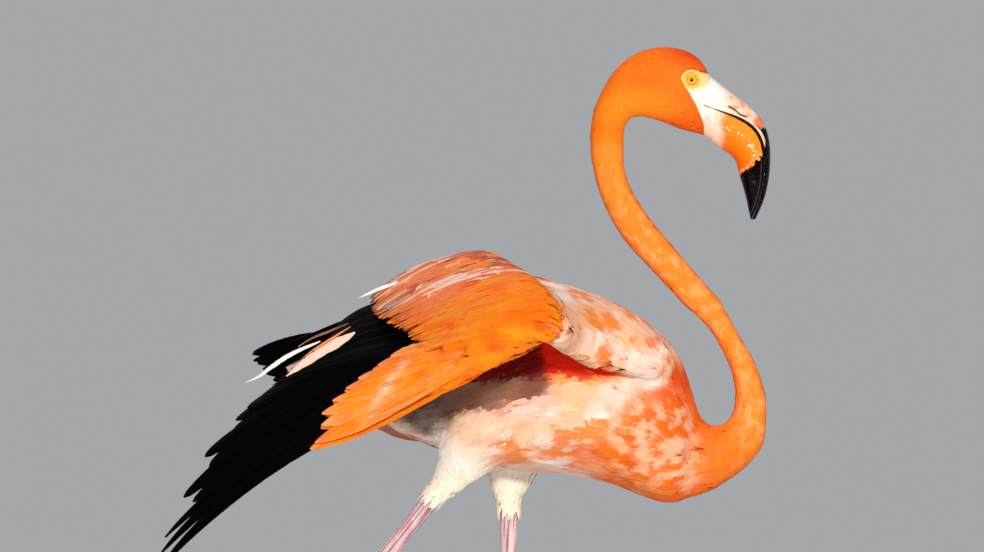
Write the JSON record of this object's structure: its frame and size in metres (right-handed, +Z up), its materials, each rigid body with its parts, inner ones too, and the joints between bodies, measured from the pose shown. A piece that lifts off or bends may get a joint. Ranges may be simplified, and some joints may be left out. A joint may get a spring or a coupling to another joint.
{
  "type": "flamingo",
  "caption": "Life-size still model of an adult American flamingo, walking with its neck in an S, one wing half open and the other folded.",
  "frame": {"origin": "on the floor, under the middle of the whole bird", "axes": "+X forward, the way the bird walks and its bill points; +Y to the bird's left; +Z up"},
  "size_m": [0.5645, 0.3272, 0.917],
  "materials": {
    "plumage_orange": "soft matt feathers, golden orange to red-orange",
    "plumage_pink": "soft matt feathers, pale pink with orange patches",
    "plumage_cream": "soft downy feathers, cream white",
    "plumage_black": "smooth satin flight feathers, black",
    "leg_skin": "bare scaly skin, pale pink with darker streaks",
    "bill_horn": "glossy horn, pinkish white and orange with a black tip",
    "eye": "wet glossy eye, yellow iris and small black pupil"
  },
  "bodies": {
    "root": {"head": "plumage_orange", "neck_top": "plumage_orange", "neck_upper": "plumage_orange", "neck_middle": "plumage_orange", "neck_lower": "plumage_orange", "neck_bend": "plumage_orange", "neck_base": "plumage_orange", "eye_right": "eye", "eye_left": "eye", "bill_upper": "bill_horn", "bill_lower": "bill_horn", "trunk": "plumage_pink", "tail": "plumage_pink", "wing_right_arm": "plumage_orange", "wing_right_shoulder": "plumage_pink", "wing_right_hand": "plumage_orange", "wing_right_primaries": "plumage_black", "wing_right_secondaries": "plumage_black", "thigh_right": "plumage_cream", "shank_right": "leg_skin", "tarsus_right": "leg_skin", "foot_right": "leg_skin", "wing_left_arm": "plumage_orange", "wing_left_shoulder": "plumage_pink", "wing_left_hand": "plumage_orange", "wing_left_primaries": "plumage_black", "wing_left_secondaries": "plumage_black", "thigh_left": "plumage_cream", "shank_left": "leg_skin", "tarsus_left": "leg_skin", "foot_left": "leg_skin"}
  },
  "joints": []
}
